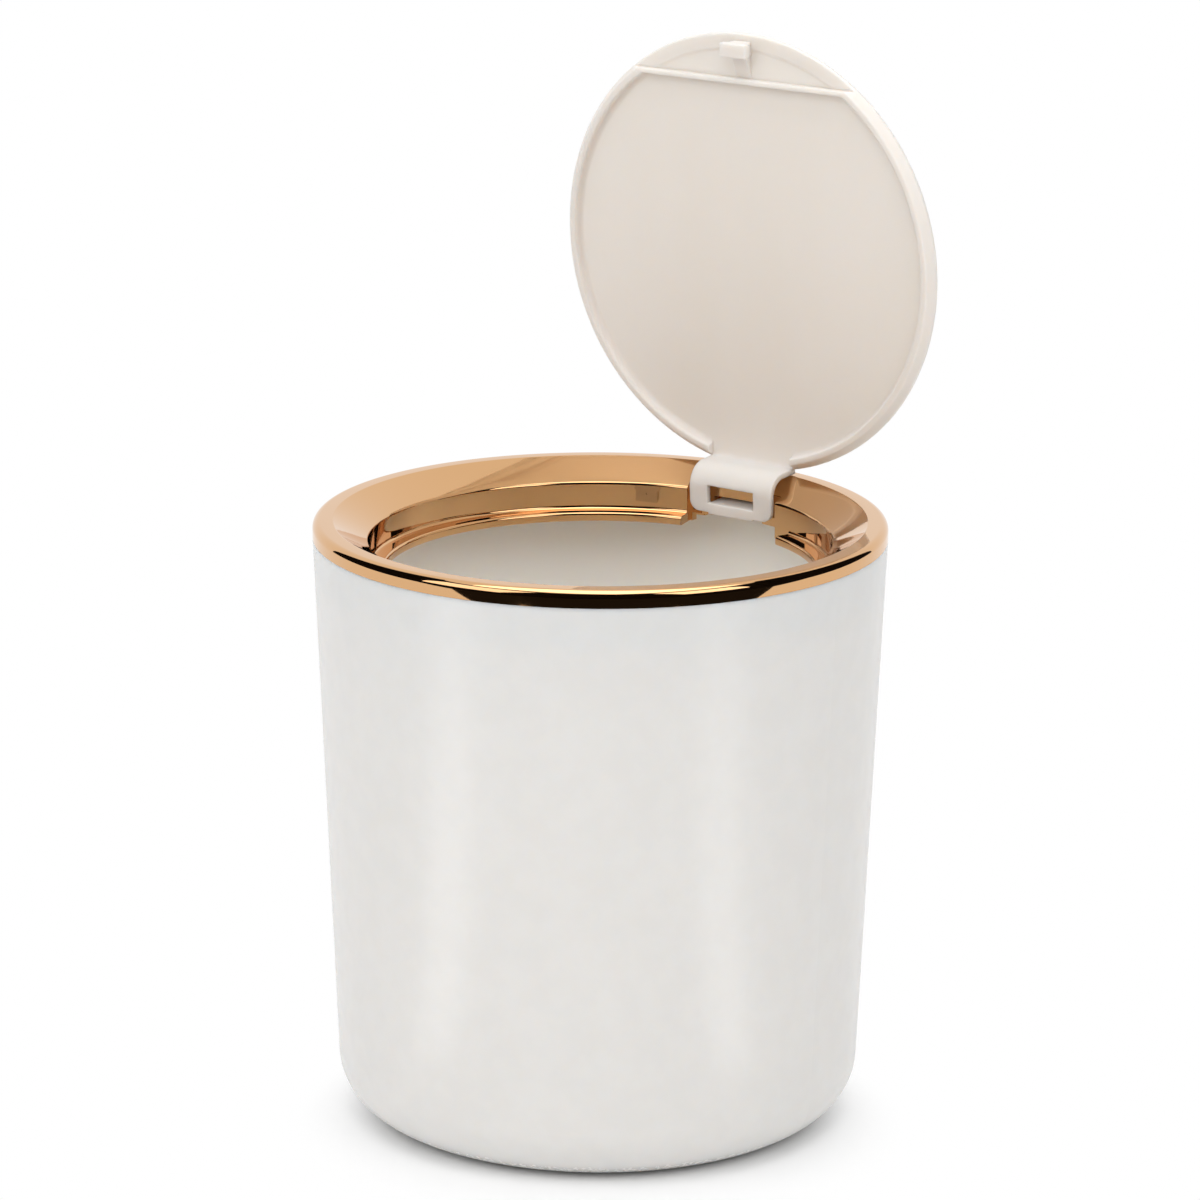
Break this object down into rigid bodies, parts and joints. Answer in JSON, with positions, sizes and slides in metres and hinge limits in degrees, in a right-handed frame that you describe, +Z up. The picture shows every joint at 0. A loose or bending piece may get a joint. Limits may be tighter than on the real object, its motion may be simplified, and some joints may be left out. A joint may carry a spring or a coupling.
{
  "type": "desktop trash can",
  "caption": "Small round desktop trash can with a tapered satin-white body, a rose-gold plated funnel ring and a sprung flip lid with a touch latch, lid standing open.",
  "frame": {"origin": "centre of the base on the table", "axes": "+Z up along the can's axis, hinge at +Y, touch latch at -Y, hinge pin along X"},
  "size_m": [0.16, 0.16, 0.2982],
  "materials": {
    "can_white": "satin off-white moulded plastic",
    "rose_gold": "mirror rose-gold plating on moulded plastic",
    "lid_white": "satin warm white moulded plastic",
    "pin_steel": "bright ground steel",
    "spring_steel": "drawn spring wire",
    "latch_plastic": "plain white moulded plastic",
    "slider_plastic": "plain natural acetal",
    "screw_steel": "zinc-plated steel"
  },
  "bodies": {
    "can": {"can_body": "can_white"},
    "ring": {"rim_ring": "rose_gold", "hinge_pin": "pin_steel", "lid_spring": "spring_steel", "latch_housing": "latch_plastic", "latch_cover": "latch_plastic", "latch_spring": "spring_steel", "latch_screws": "screw_steel"},
    "lid": {"lid": "lid_white"},
    "slider": {"latch_slider": "slider_plastic"},
    "cam_pin": {"latch_cam_pin": "spring_steel"}
  },
  "joints": [
    {"name": "lid_hinge", "type": "hinge", "parent": "ring", "child": "lid", "pos_m": [0, 0.0738, 0.16076], "axis": [1, 0, 0], "range_deg": [0, 87.2], "stiffness_Nm_per_rad": 0.016, "springref_deg": -68.75, "deforming": ["lid_spring"]},
    {"name": "ring_lift", "type": "slide", "parent": "can", "child": "ring", "axis": [0, 0, 1], "range_m": [0, 0.06]},
    {"name": "latch_slide", "type": "slide", "parent": "ring", "child": "slider", "axis": [0, 0, 1], "range_m": [-0.003, 0], "stiffness_N_per_m": 300, "springref_m": 0.003, "deforming": ["latch_spring"]},
    {"name": "cam_pin_swing", "type": "hinge", "parent": "ring", "child": "cam_pin", "pos_m": [0, -0.0547, 0.13708], "axis": [0, 1, 0], "range_deg": [0, 8]}
  ]
}
